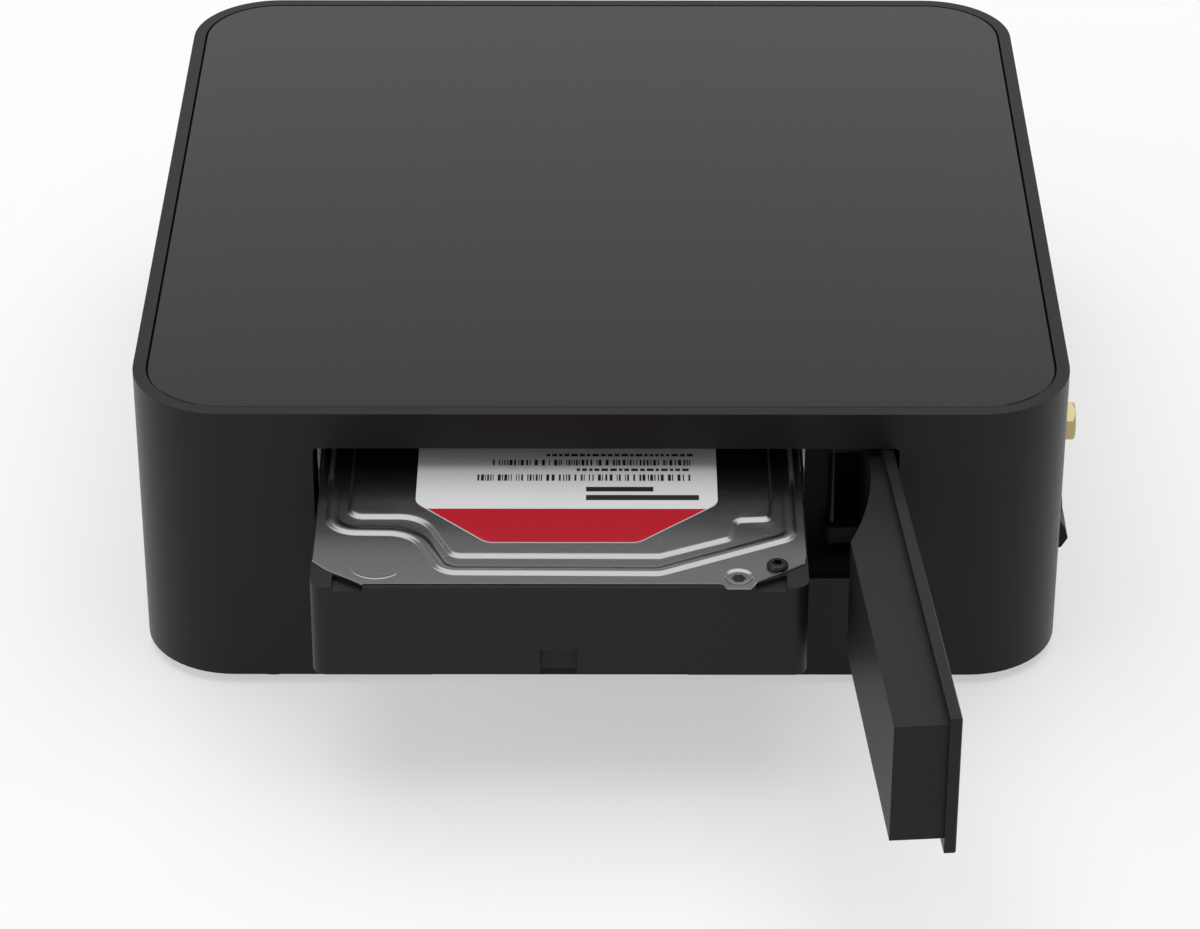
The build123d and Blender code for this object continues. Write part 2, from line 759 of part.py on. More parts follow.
# ---------------------------------------------------------------- bay pieces
def bay_frame():
    left = tunnel_left - bay_wall
    right = tunnel_right + bay_wall
    front = -inner_y
    low = sill - bay_floor
    high = lintel + bay_roof
    pocket_right = hinge_x + sweep_radius
    pocket_back = hinge_y + sweep_radius
    pocket_left = hinge_x + 1.2
    frame = block(left, right, front, bay_back, low, high)
    frame += block(opening_left - bay_wall, pocket_right + bay_wall, front, recess_back + bay_wall, low, high)
    frame += block(right - 0.5, pocket_right + bay_wall, front, pocket_back + bay_wall, low, high)
    frame -= block(tunnel_left, tunnel_right, front - 1, bay_back + 1, sill, lintel)
    frame -= block(opening_left, opening_right, front - 1, recess_back, sill, lintel)
    frame -= block(pocket_left, pocket_right, front - 1, pocket_back, sill, lintel)
    for x in (drive_left + rail_size, drive_right - 2 * rail_size):
        frame += block(x, x + rail_size, recess_back, bay_back, sill - 0.5, sill + drive_lift - slide_gap)
    for x in (left, right - leg_size):
        leg_front = front + ledge_width + fit_gap
        frame += block(x, x + leg_size, leg_front, leg_front + leg_size, floor_top, low + 0.5)
        frame += block(x, x + leg_size, bay_back - leg_size, bay_back, floor_top, low + 0.5)
    hole_front = -side_y + roof_hole_front
    hole_back = bay_back - roof_hole_back
    frame -= slab(drive_width - 2 * roof_hole_side, hole_back - hole_front, roof_hole_corner, lintel - 1,
                  high + 1, drive_centre, (hole_front + hole_back) / 2)
    frame -= rod_z(pin_radius, low - 1, high + 1, hinge_x, hinge_y)
    for x in sata_screw_places():
        frame -= rod_y(screw_radius + screw_hole_gap, bay_back - 7.0, bay_back + 1, x, sill - bay_floor - 3.0)
    return frame


def hinge_pin():
    return rod_z(pin_radius, sill - bay_floor, lintel + bay_roof, hinge_x, hinge_y)


def sata_screw_places():
    return (tunnel_left - bay_wall + leg_size / 2, tunnel_right + bay_wall - leg_size / 2)


def bay_board():
    """The upright board behind the bay, which carries the drive's socket."""
    low = sill - bay_floor - leg_size
    board = block(tunnel_left - bay_wall, tunnel_right + bay_wall, bay_back, bay_back + board_thickness,
                  low, drive_bottom + 18.0)
    for x in sata_screw_places():
        board -= rod_y(screw_radius + screw_hole_gap, bay_back - 1, bay_back + 3, x, sill - bay_floor - 3.0)
    return board


def bay_board_screws():
    screws = []
    y = bay_back + board_thickness
    z = sill - bay_floor - 3.0
    for x in sata_screw_places():
        head = rod_y(screw_head_radius, y, y + screw_head_height, x, z)
        screws.append(head + rod_y(screw_radius, y - 6.0, y, x, z))
    return screws


def bay_socket():
    """The socket that the drive's connector runs on to: a body with a thin tongue."""
    z = drive_bottom + connector_z
    body = block(drive_centre - connector_half - 1, drive_centre + connector_half + 1, bay_back - 1.9,
                 bay_back, z - 2.6, z + 2.6)
    tongue = block(drive_centre - connector_half + 2.0, drive_centre + connector_half - 2.0,
                   bay_back - 6.0, bay_back - 1.9, z - 0.5, z + 0.5)
    return body + tongue


# ---------------------------------------------------------------- door pieces
def door_points(pairs):
    """Door outline points from (distance from the hinge, offset outwards), as when closed."""
    return [(hinge_x - along, hinge_y - out) for along, out in pairs]


def swing_open(shape):
    """Turn a door piece about the hinge from closed to open."""
    return Pos(hinge_x, hinge_y, 0) * Rot(0, 0, door_open_angle) * Pos(-hinge_x, -hinge_y, 0) * shape


def door_plate():
    outline = door_points([
        (-door_tail, hinge_depth), (door_length, hinge_depth),
        (door_length, plate_inner), (-door_tail + plate_thickness, plate_inner),
    ])
    plate = prism(outline, plate_bottom, plate_top)
    rim = plate.faces().sort_by(Axis.Y)[0].edges()
    return swing_open(chamfer(rim, 0.25))


def door_block():
    """The door's thick inner part, necked near the hinge, with a lug at each end of the pin."""
    tip = door_length - block_tip_inset
    corners = door_points([
        (-block_tail, plate_inner), (tip, plate_inner), (tip, block_inner), (neck_far, block_inner),
        (neck_mid, neck_mid_offset), (neck_end, neck_offset), (-block_tail, neck_offset),
    ])
    edges = Polyline(corners[5], corners[6], corners[0], corners[1], corners[2], corners[3])
    edges += ThreePointArc(corners[3], corners[4], corners[5])
    body = Pos(0, 0, block_bottom) * extrude(make_face(edges), amount=block_top - block_bottom)
    for z0 in (block_bottom, block_top - lug_height):
        body += rod_z(lug_radius, z0, z0 + lug_height, hinge_x, hinge_y)
        web = door_points([(-lug_radius, 0), (lug_radius, 0), (lug_radius, plate_inner), (-lug_radius, plate_inner)])
        body += prism(web, z0, z0 + lug_height)
    body -= rod_z(pin_radius + running_gap, block_bottom - 1, block_top + 1, hinge_x, hinge_y)
    return swing_open(body)


# ---------------------------------------------------------------- hard drive pieces, front at Y = 0
connector_half = 21.0
connector_z = 4.4
connector_depth = 7.0


def place_in_bay(shape):
    """Put a drive piece, made with its front at Y = 0 and its underside at Z = 0, in the bay."""
    return Pos(drive_centre, drive_front, drive_bottom) * shape


def actuator_well():
    """The hollow behind the discs that holds the arm and its magnets."""
    back = drive_length - well_back_wall
    width = drive_width - well_left_wall - well_right_wall
    return slab(width, back - well_from_front, 4.0, well_floor, drive_height,
                (well_left_wall - well_right_wall) / 2, (well_from_front + back) / 2)


def disc_well():
    return rod_z(disc_radius + disc_clearance, well_floor, drive_height, 0, spindle_from_front)


def drive_base():
    half = drive_width / 2
    body = block(-half, half, 0, drive_length, 0, cover_seat)
    body = fillet(body.edges().filter_by(Axis.Z).group_by(Axis.Y)[0], drive_corner)
    body -= block(-half - 1, half + 1, -1, undercut_depth, -1, undercut_height)
    body -= block(-half + corner_pad, half - corner_pad, -1, undercut_depth, -1,
                  undercut_height + undercut_lift)
    body -= block(-half + rail_width, half - rail_width, board_recess_front, drive_length + 1,
                  -1, board_recess_height)
    body -= disc_well() + actuator_well()
    body -= block(-notch_left, notch_right, -1, notch_depth, 0, undercut_height + notch_height)
    body -= rod_z(shaft_radius + 6.0, -1, well_floor + 1, 0, spindle_from_front)
    body -= block(-connector_half - 2, connector_half + 2, drive_length - connector_depth - 1,
                  drive_length + 1, -1, connector_z + 4.0)
    for way in (-1, 1):
        outer = way * (half - pocket_outer)
        inner = way * (half - pocket_inner)
        corner = [(outer, -1), (outer, pocket_outer_back), (inner, pocket_inner_back), (inner, -1)]
        body -= prism(corner, cover_seat - pocket_depth, cover_seat + 1)
        for y in (28.5, 70.0, 130.0):
            body -= rod_x(1.6, way * half - 2, way * half + 2, y, 6.35)
    for x, y in drive_screw_places():
        body -= rod_z(screw_radius + screw_hole_gap, cover_seat - 7.0, cover_seat + 1, x, y)
    return place_in_bay(body)


def drive_outline(left, right):
    """Points across the drive, from distances to its left side and then to its right side."""
    half = drive_width / 2
    return [(x - half, *rest) for x, *rest in left] + [(half - x, *rest) for x, *rest in right]


def rounded_face(corners):
    """A face on a closed outline of (x, y, radius) corners."""
    face = make_face(Polyline(*[corner[:2] for corner in corners], close=True))
    for x, y, radius in corners:
        face = fillet(face.vertices().sort_by_distance((x, y, 0))[0], radius)
    return face


def cover_relief(left, right, side_left, side_right, corner):
    """A face of the cover's pressed relief, which runs straight to the cover's back."""
    back = drive_length - rear_setback - crown_setback
    left = [(side_left, back, corner)] + left
    right = right + [(side_right, back, corner)]
    return rounded_face(drive_outline(left, right))


def drive_screw_places():
    """The cover's screws: one at the front right, then two pairs along the sides."""
    half = drive_width / 2
    side = half - side_screw_inset
    rows = (drive_length - middle_screw_from_back, drive_length - rear_screw_from_back)
    return [(half - front_screw[0], front_screw[1])] + [(way * side, y) for y in rows for way in (-1, 1)]


def drive_cover():
    """The pressed cover: a flange, a ridge that runs round it, a channel and a raised middle."""
    back = drive_length - rear_setback
    edge = drive_outline([(cover_left[0][0], back)] + cover_left, cover_right + [(cover_right[-1][0], back)])
    plate = prism(edge, cover_seat, cover_seat + cover_flange)
    top = Pos(0, 0, cover_seat + cover_flange)
    outer = cover_relief(ridge_left, ridge_right, ridge_left[0][0], ridge_right[-1][0], 3.0)
    inner = offset(outer, amount=-ridge_width)
    crown = cover_relief(crown_left, crown_right, crown_left[0][0], crown_right[-1][0], 3.0)
    plate += top * extrude(outer, amount=cover_channel)
    plate += top * extrude(outer - inner, amount=cover_ridge)
    plate += top * extrude(crown, amount=cover_crown)
    plate -= rod_z(dish_hole_radius, cover_seat - 1, drive_height + 1, drive_width / 2 - dish[0], dish[1])
    for x, y in drive_screw_places():
        plate -= rod_z(screw_radius + 0.1, cover_seat - 1, drive_height + 1, x, y)
        plate -= rod_z(drive_screw_head + 0.1, cover_seat + cover_flange, drive_height + 1, x, y)
    return place_in_bay(plate)


def drive_screws():
    seat = cover_seat + cover_flange
    screws = []
    for x, y in drive_screw_places():
        piece = rod_z(drive_screw_head, seat, seat + screw_head_height, x, y)
        piece += rod_z(screw_radius, seat - 6.0, seat, x, y)
        piece -= rod_z(0.9, seat + screw_head_height - 0.6, seat + screw_head_height + 1, x, y)
        screws.append(place_in_bay(piece))
    return screws


def drive_label():
    left = [(label_left[0][0], label_back, label_corner)] + label_left
    right = label_right + [(label_right[-1][0], label_back, label_corner)]
    face = rounded_face(drive_outline(left, right))
    return place_in_bay(Pos(0, 0, drive_height) * extrude(face, amount=label_thickness))


def drive_board():
    half = drive_width / 2 - rail_width - fit_gap
    seat = board_recess_height
    board = block(-half, half, board_recess_front + 2.0, drive_length - connector_depth - 1.5,
                  seat - drive_board_thickness, seat)
    board -= rod_z(shaft_radius + 7.5, seat - 2, seat + 1, 0, spindle_from_front)
    return place_in_bay(board)


def drive_chips():
    seat = board_recess_height - drive_board_thickness
    chips = []
    for x, y, size in drive_chip_places:
        y = drive_length - y
        chips.append(place_in_bay(block(x, x + size, y, y + size, seat - drive_chip_height, seat)))
    return chips


def drive_connector():
    back = drive_length
    body = block(-connector_half - 1.5, connector_half + 1.5, back - connector_depth, back,
                 connector_z - 3.2, connector_z + 3.2)
    slot = block(-connector_half + 1.5, connector_half - 1.5, back - connector_depth + 1.2, back + 1,
                 connector_z - 0.9, connector_z + 0.9)
    return place_in_bay(body - slot)


def spindle_motor():
    """The fixed half of the spindle motor: a flanged base with a shaft."""
    base = rod_z(shaft_radius + 6.0, 1.5, well_floor, 0, spindle_from_front)
    base += rod_z(shaft_radius, well_floor, hub_top() - 2.0, 0, spindle_from_front)
    return place_in_bay(base)


def disc_heights():
    return [disc_first_height + index * disc_pitch for index in range(disc_count)]


def hub_top():
    return disc_heights()[-1] + disc_thickness


def spindle_hub():
    hub = rod_z(hub_radius, well_floor + 0.5, hub_top(), 0, spindle_from_front)
    flange = rod_z(hub_radius + 2.0, disc_first_height - 1.6, disc_first_height, 0, spindle_from_front)
    bore = rod_z(shaft_radius + running_gap, well_floor, hub_top() - 1.5, 0, spindle_from_front)
    return place_in_bay(hub + flange - bore)


def disc_spacers():
    rings = []
    for height in disc_heights()[:-1]:
        ring = rod_z(hub_radius + 2.0, height + disc_thickness, height + disc_pitch, 0, spindle_from_front)
        rings.append(place_in_bay(ring - rod_z(hub_radius, 0, drive_height, 0, spindle_from_front)))
    return rings


def platters():
    discs = []
    for height in disc_heights():
        disc = rod_z(disc_radius, height, height + disc_thickness, 0, spindle_from_front)
        discs.append(place_in_bay(disc - rod_z(hub_radius, 0, drive_height, 0, spindle_from_front)))
    return discs


def disc_clamp():
    clamp = rod_z(hub_radius + 3.0, hub_top(), hub_top() + 1.0, 0, spindle_from_front)
    for index in range(6):
        angle = radians(index * 60.0)
        clamp += rod_z(1.6, hub_top() + 1.0, hub_top() + 1.6, 8.0 * cos(angle),
                       spindle_from_front + 8.0 * sin(angle))
    return place_in_bay(clamp)


def arm_heading(track_radius):
    """Direction of the arm, in degrees from +X, when its head is over a track."""
    share = (pivot_span ** 2 + arm_reach ** 2 - track_radius ** 2) / (2 * pivot_span * arm_reach)
    to_spindle = atan2(spindle_from_front - pivot_from_front, -pivot_side)
    return degrees(to_spindle + acos_of(share))


def acos_of(value):
    return atan2((1 - value ** 2) ** 0.5, value)


def head_arm():
    """The arm block with its three arms, its coil tail and a bore for the pivot."""
    low = well_floor + 0.8
    high = hub_top() + 2.4
    arm = rod_z(arm_hub_radius, low, high, 0, 0)
    levels = [disc_first_height - 2.4]
    levels += [height + disc_thickness + 1.4 for height in disc_heights()]
    for level in levels:
        blade = prism([(0, -5.0), (arm_reach, -1.2), (arm_reach + 2, 0), (arm_reach, 1.2), (0, 5.0)],
                      level, level + arm_thickness)
        arm += blade
    middle = (low + high) / 2
    arm += prism([(0, -5.0), (-20.0, -9.0), (-23.0, 0), (-20.0, 9.0), (0, 5.0)], middle - 1.0, middle + 1.0)
    arm -= rod_z(shaft_radius + running_gap, low - 1, high + 1, 0, 0)
    turned = Pos(pivot_side, pivot_from_front, 0) * Rot(0, 0, arm_heading(arm_rest_radius)) * arm
    return place_in_bay(turned)


def arm_pivot():
    return place_in_bay(rod_z(shaft_radius, well_floor, cover_seat, pivot_side, pivot_from_front))


def coil_magnets():
    """The two magnet plates above and below the arm's coil tail."""
    middle = (well_floor + 0.8 + hub_top() + 2.4) / 2
    left, right = pivot_side - magnet_left, pivot_side + magnet_right
    front, back = pivot_from_front + magnet_front, pivot_from_front + magnet_back
    low = block(left, right, front, back, well_floor, middle - magnet_gap)
    high = block(left, right, front, back, middle + magnet_gap, cover_seat)
    return [place_in_bay(low), place_in_bay(high)]


# ---------------------------------------------------------------- the whole part
makers = [
    housing_shell, top_panel, bottom_cover, cover_screws, rubber_feet,
    display_window, front_board, display_module, ir_receiver, button_switch, power_button,
    main_board, board_screws, board_chips, heatsink,
    power_jack, network_socket, usb_sockets, video_socket, av_housing, av_jacks,
    antenna_jack, antenna_insulator, antenna_contact, rocker_frame, rocker,
    fan_frame, fan_rotor,
    bay_frame, hinge_pin, bay_board, bay_board_screws, bay_socket,
    door_plate, door_block,
    drive_base, drive_cover, drive_screws, drive_label, drive_board, drive_chips, drive_connector,
    spindle_motor, spindle_hub, disc_spacers, platters, disc_clamp, head_arm, arm_pivot, coil_magnets,
]


def as_shape(made):
    return Compound(made) if isinstance(made, list) else made


nodes = {maker.__name__: as_shape(maker()) for maker in makers}
boxes = [shape.bounding_box() for shape in nodes.values()]
centre_x = (min(box.min.X for box in boxes) + max(box.max.X for box in boxes)) / 2
centre_y = (min(box.min.Y for box in boxes) + max(box.max.Y for box in boxes)) / 2
to_origin = Pos(-centre_x, -centre_y, 0)

os.makedirs("parts", exist_ok=True)
for name, shape in nodes.items():
    export_step(to_origin * shape, f"parts/{name}.step")

pivot_x, pivot_z = rocker_pivot()
places = {
    "shift": (-centre_x, -centre_y, 0),
    "hinge": (hinge_x, hinge_y, (sill + lintel) / 2),
    "drive front": (drive_centre, drive_front, drive_bottom),
    "spindle": (drive_centre, drive_front + spindle_from_front, drive_bottom + disc_first_height),
    "arm pivot": (drive_centre + pivot_side, drive_front + pivot_from_front, drive_bottom + 14.0),
    "fan": (fan_x, fan_inner, fan_z),
    "rocker": (pivot_x, jack_y, pivot_z),
    "button": (-side_x, button_y, front_z),
    "av jack": (side_x, av_first_y, board_top + av_height / 2),
    "case": (-side_x, -side_y, case_top),
}
for name, (x, y, z) in places.items():
    shift = (0, 0) if name == "shift" else (centre_x, centre_y)
    print(f"{name}: {x - shift[0]:.3f} {y - shift[1]:.3f} {z:.3f}")
print(f"arm sweep: {arm_heading(arm_inner_radius) - arm_heading(arm_rest_radius):.2f}")
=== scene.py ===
"""Looks of the media player: finishes, pressed drive cover, label, screws and painted highlights on
the bay's walls.
"""

import math
import random

import bmesh
import bpy
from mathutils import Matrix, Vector, geometry


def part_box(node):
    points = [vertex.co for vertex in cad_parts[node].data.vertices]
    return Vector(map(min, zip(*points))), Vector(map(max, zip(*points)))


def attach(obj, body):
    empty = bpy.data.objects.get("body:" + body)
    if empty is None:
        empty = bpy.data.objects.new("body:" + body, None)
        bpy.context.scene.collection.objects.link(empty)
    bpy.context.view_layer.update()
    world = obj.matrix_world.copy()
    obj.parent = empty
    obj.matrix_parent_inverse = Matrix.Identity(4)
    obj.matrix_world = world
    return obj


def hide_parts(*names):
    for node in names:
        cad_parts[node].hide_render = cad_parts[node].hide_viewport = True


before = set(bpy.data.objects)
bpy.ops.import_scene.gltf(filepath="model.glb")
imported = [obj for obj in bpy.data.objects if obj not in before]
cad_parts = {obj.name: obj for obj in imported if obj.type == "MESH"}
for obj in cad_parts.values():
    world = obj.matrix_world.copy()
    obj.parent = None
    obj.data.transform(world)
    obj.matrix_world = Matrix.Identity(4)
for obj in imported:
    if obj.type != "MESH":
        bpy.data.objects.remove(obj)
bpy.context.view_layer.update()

MM = 0.001

# ---------------------------------------------------------------- camera, fitted to the photograph
# The focal length is in pixels of the image's width, the sensor and the place are in millimetres,
# and the pitch and the yaw are in degrees.
IMAGE_WIDTH = 1200.0
SENSOR_WIDTH = 36.0
FOCAL_PIXELS = 4277.75
CAMERA_PITCH = 31.7219
CAMERA_YAW = 0.1100
CAMERA_PLACE = (1.2702, -867.4304, 530.5542)
NEAR_CLIP = 0.01


def case_origin():
    """The casing's middle, in metres, from which the camera and the lamps are placed."""
    low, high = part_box("housing_shell")
    return (low[0] + high[0]) / 2, (low[1] + high[1]) / 2


def make_camera():
    middle_x, middle_y = case_origin()
    lens = bpy.data.cameras.new("camera")
    lens.sensor_width = SENSOR_WIDTH
    lens.lens = FOCAL_PIXELS * SENSOR_WIDTH / IMAGE_WIDTH
    lens.clip_start = NEAR_CLIP
    camera = bpy.data.objects.new("camera", lens)
    x, y, z = (value * MM for value in CAMERA_PLACE)
    camera.location = (middle_x + x, middle_y + y, z)
    camera.rotation_euler = (math.radians(90 - CAMERA_PITCH), 0, math.radians(CAMERA_YAW))
    bpy.context.collection.objects.link(camera)
    bpy.context.scene.camera = camera


# ---------------------------------------------------------------- materials
# Noise settings that all finishes share. The broad noise tints, the fine noise is the grain.
MOTTLE_SCALE = 45.0
MOTTLE_DETAIL = 4.0
GRAIN_DETAIL = 3.0
GRAIN_STRENGTH = 0.6
# Specular level of the dull black pieces.
DULL = 0.22


def srgb(level):
    """A linear value from an sRGB level of 0 to 255."""
    share = level / 255
    return share / 12.92 if share <= 0.04045 else ((share + 0.055) / 1.055) ** 2.4


def grey(level, warm=0.0):
    """A grey of an sRGB level, with more red and less blue where warm is above 0."""
    return (srgb(level * (1 + warm)), srgb(level), srgb(level * (1 - warm)), 1)


def surface(name, colour, rough, metal=0.0, grain=0.0, grain_size=0.4, mottle=0.06,
            rough_spread=0.05, stretch=(1, 1, 1), specular=0.5):
    """A finish with fine grain in its bump and a soft mottle in its colour and roughness.

    grain is the depth of the bump and grain_size its width, in millimetres. mottle and
    rough_spread say how far the colour and the roughness stray, and stretch scales the noise
    along each axis.
    """
    made = bpy.data.materials.new(name)
    made.use_nodes = True
    nodes = made.node_tree.nodes
    links = made.node_tree.links
    shader = nodes["Principled BSDF"]
    shader.inputs["Metallic"].default_value = metal
    shader.inputs["Specular IOR Level"].default_value = specular
    place = nodes.new("ShaderNodeTexCoord")
    spread = nodes.new("ShaderNodeMapping")
    spread.inputs["Scale"].default_value = stretch
    links.new(place.outputs["Object"], spread.inputs["Vector"])
    broad = nodes.new("ShaderNodeTexNoise")
    broad.inputs["Scale"].default_value = MOTTLE_SCALE
    broad.inputs["Detail"].default_value = MOTTLE_DETAIL
    links.new(spread.outputs["Vector"], broad.inputs["Vector"])
    tint = nodes.new("ShaderNodeMix")
    tint.data_type = "RGBA"
    for socket, share in (("A", 1 - mottle), ("B", 1 + mottle)):
        channels = [min(1, channel * share) for channel in colour[:3]]
        tint.inputs[socket].default_value = [*channels, 1]
    links.new(broad.outputs["Fac"], tint.inputs["Factor"])
    links.new(tint.outputs["Result"], shader.inputs["Base Color"])
    fine = nodes.new("ShaderNodeTexNoise")
    fine.inputs["Scale"].default_value = 1 / (grain_size * MM)
    fine.inputs["Detail"].default_value = GRAIN_DETAIL
    links.new(spread.outputs["Vector"], fine.inputs["Vector"])
    dull = nodes.new("ShaderNodeMapRange")
    dull.inputs["To Min"].default_value = rough - rough_spread
    dull.inputs["To Max"].default_value = rough + rough_spread
    links.new(fine.outputs["Fac"], dull.inputs["Value"])
    links.new(dull.outputs["Result"], shader.inputs["Roughness"])
    if grain:
        bump = nodes.new("ShaderNodeBump")
        bump.inputs["Strength"].default_value = GRAIN_STRENGTH
        bump.inputs["Distance"].default_value = grain * MM
        links.new(fine.outputs["Fac"], bump.inputs["Height"])
        links.new(bump.outputs["Normal"], shader.inputs["Normal"])
    return made


def make_finishes():
    return {
        "case": surface("case_finish", grey(20), 0.4, grain=0.012, grain_size=0.25, specular=DULL),
        "panel": surface("panel_finish", grey(19), 0.24, grain=0.006, grain_size=0.25,
                         specular=0.38),
        "inside": surface("inside_plastic", grey(30), 0.6, grain=0.02, grain_size=0.5,
                          specular=DULL),
        "plastic": surface("moulded_plastic", grey(20), 0.5, grain=0.02, grain_size=0.35,
                           specular=DULL),
        "door_plate": surface("door_plate_finish", grey(22), 0.42, grain=0.01, grain_size=0.25,
                              specular=DULL),
        "door_block": surface("door_block_plastic", grey(22), 0.5, grain=0.015, grain_size=0.35,
                              specular=DULL),
        "rubber": surface("foot_rubber", grey(24), 0.75, grain=0.03, grain_size=0.5),
        "cast": surface("drive_casting", grey(24), 0.42, grain=0.02, grain_size=0.5, mottle=0.1,
                        specular=DULL),
        "pressing": surface("drive_pressing", grey(142, 0.006), 0.25, metal=1.0, grain=0.0012,
                            grain_size=0.3, mottle=0.03, stretch=(0.08, 1, 1)),
        "steel": surface("plain_steel", grey(190), 0.3, metal=1.0, grain=0.003, grain_size=0.3),
        "alloy": surface("milled_alloy", grey(200), 0.32, metal=1.0, grain=0.004, grain_size=0.3),
        "disc": surface("disc_mirror", grey(225), 0.04, metal=1.0, mottle=0.01, rough_spread=0.01),
        "black_screw": surface("black_screw", grey(26), 0.28, metal=0.6, grain=0.004),
        "brass": surface("plated_brass", (0.44, 0.37, 0.2, 1), 0.38, metal=1.0, grain=0.003),
        # Near-white for the strips on the bay's walls: painted highlight where the walls' faces
        # catch the light.
        "wall_highlight": surface("painted_wall_highlight", grey(215), 0.45, metal=0.2, grain=0.003),
        "white": surface("white_plastic", grey(225), 0.4, grain=0.01),
        "board": surface("circuit_board", (0.012, 0.09, 0.035, 1), 0.4, grain=0.03,
                         grain_size=1.2, mottle=0.3),
        "chip": surface("chip_resin", grey(28), 0.5, grain=0.01),
        "glass": surface("smoked_glass_finish", grey(9), 0.08, mottle=0.02, rough_spread=0.01,
                         specular=0.25),
        "label": surface("label_paper", grey(198), 0.5, grain=0.004, mottle=0.02, specular=0.3),
        "label_red": surface("label_red", (srgb(160), srgb(8), srgb(30), 1), 0.5, mottle=0.03,
                             specular=0.2),
        "label_ink": surface("label_ink", grey(22), 0.45, mottle=0.05),
    }


NODE_FINISH = {
    "housing_shell": "case", "top_panel": "panel", "bottom_cover": "case",
    "cover_screws": "black_screw", "rubber_feet": "rubber", "display_window": "glass",
    "front_board": "board", "display_module": "glass", "ir_receiver": "glass",
    "button_switch": "plastic", "power_button": "plastic", "main_board": "board",
    "board_screws": "steel", "board_chips": "chip", "heatsink": "alloy", "power_jack": "plastic",
    "network_socket": "plastic", "usb_sockets": "steel", "video_socket": "steel",
    "av_housing": "plastic", "av_jacks": "brass", "antenna_jack": "brass",
    "antenna_insulator": "white", "antenna_contact": "brass", "rocker_frame": "plastic",
    "rocker": "plastic", "fan_frame": "plastic", "fan_rotor": "plastic", "bay_frame": "inside",
    "hinge_pin": "black_screw", "bay_board": "board", "bay_board_screws": "steel",
    "bay_socket": "plastic", "door_plate": "door_plate", "door_block": "door_block",
    "drive_base": "cast", "drive_cover": "pressing", "drive_screws": "black_screw",
    "drive_label": "label", "drive_board": "board", "drive_chips": "chip",
    "drive_connector": "plastic", "spindle_motor": "alloy", "spindle_hub": "alloy",
    "disc_spacers": "alloy", "platters": "disc", "disc_clamp": "steel", "head_arm": "alloy",
    "arm_pivot": "steel", "coil_magnets": "steel",
}


def dress_nodes(finishes):
    for name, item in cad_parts.items():
        for holder in item.material_slots:
            holder.material = finishes[NODE_FINISH[name]]


# ---------------------------------------------------------------- outlines
# Least values that keep a moved corner from running away and its arc from closing up.
LEAST_MITRE = 0.2
LEAST_RADIUS = 0.02


def rounded(corners, inset, steps):
    """Points round a closed outline of (x, y, radius) corners, each arc with the same count.

    inset moves the outline inwards, for corners that run anticlockwise.
    """
    count = len(corners)
    moved = []
    for index in range(count):
        before = Vector(corners[index - 1][:2])
        here = Vector(corners[index][:2])
        after = Vector(corners[(index + 1) % count][:2])
        into, out = (here - before).normalized(), (after - here).normalized()
        side_in, side_out = Vector((-into.y, into.x)), Vector((-out.y, out.x))
        turn = into.x * out.y - into.y * out.x
        reach = inset / max(LEAST_MITRE, 1 + side_in.dot(side_out))
        radius = corners[index][2] - inset * (1 if turn > 0 else -1)
        corner = here + (side_in + side_out) * reach
        moved.append((corner, into, out, turn, max(LEAST_RADIUS, radius)))
    points = []
    for corner, into, out, turn, radius in moved:
        angle = math.atan2(turn, into.dot(out))
        back = radius * math.tan(abs(angle) / 2)
        start = corner - into * back
        way = 1 if angle > 0 else -1
        centre = start + Vector((-into.y, into.x)) * radius * way
        spoke = start - centre
        for step in range(steps + 1):
            swing = angle * step / steps
            turned = Vector((spoke.x * math.cos(swing) - spoke.y * math.sin(swing),
                             spoke.x * math.sin(swing) + spoke.y * math.cos(swing)))
            points.append(centre + turned)
    return points


def arc_point(centre, radius, angle):
    return Vector((centre[0] + radius * math.cos(angle), centre[1] + radius * math.sin(angle)))


def ring_points(centre, radius, count=28):
    return [arc_point(centre, radius, math.tau * index / count) for index in range(count)]


def inside(point, outline):
    """Whether a point lies inside a closed outline, by the edges that it has on one side."""
    hit = False
    for index, here in enumerate(outline):
        before = outline[index - 1]
        if (here.y > point.y) != (before.y > point.y):
            cross = here.x + (point.y - here.y) * (before.x - here.x) / (before.y - here.y)
            hit ^= point.x < cross
    return hit


def below(outline, limit):
    """The part of a closed outline up to a straight line across it, at a distance along Y."""
    kept = []
    for index, here in enumerate(outline):
        before = outline[index - 1]
        if (here.y <= limit) != (before.y <= limit):
            share = (limit - before.y) / (here.y - before.y)
            kept.append(before.lerp(here, share))
        if here.y <= limit:
            kept.append(here)
    return kept


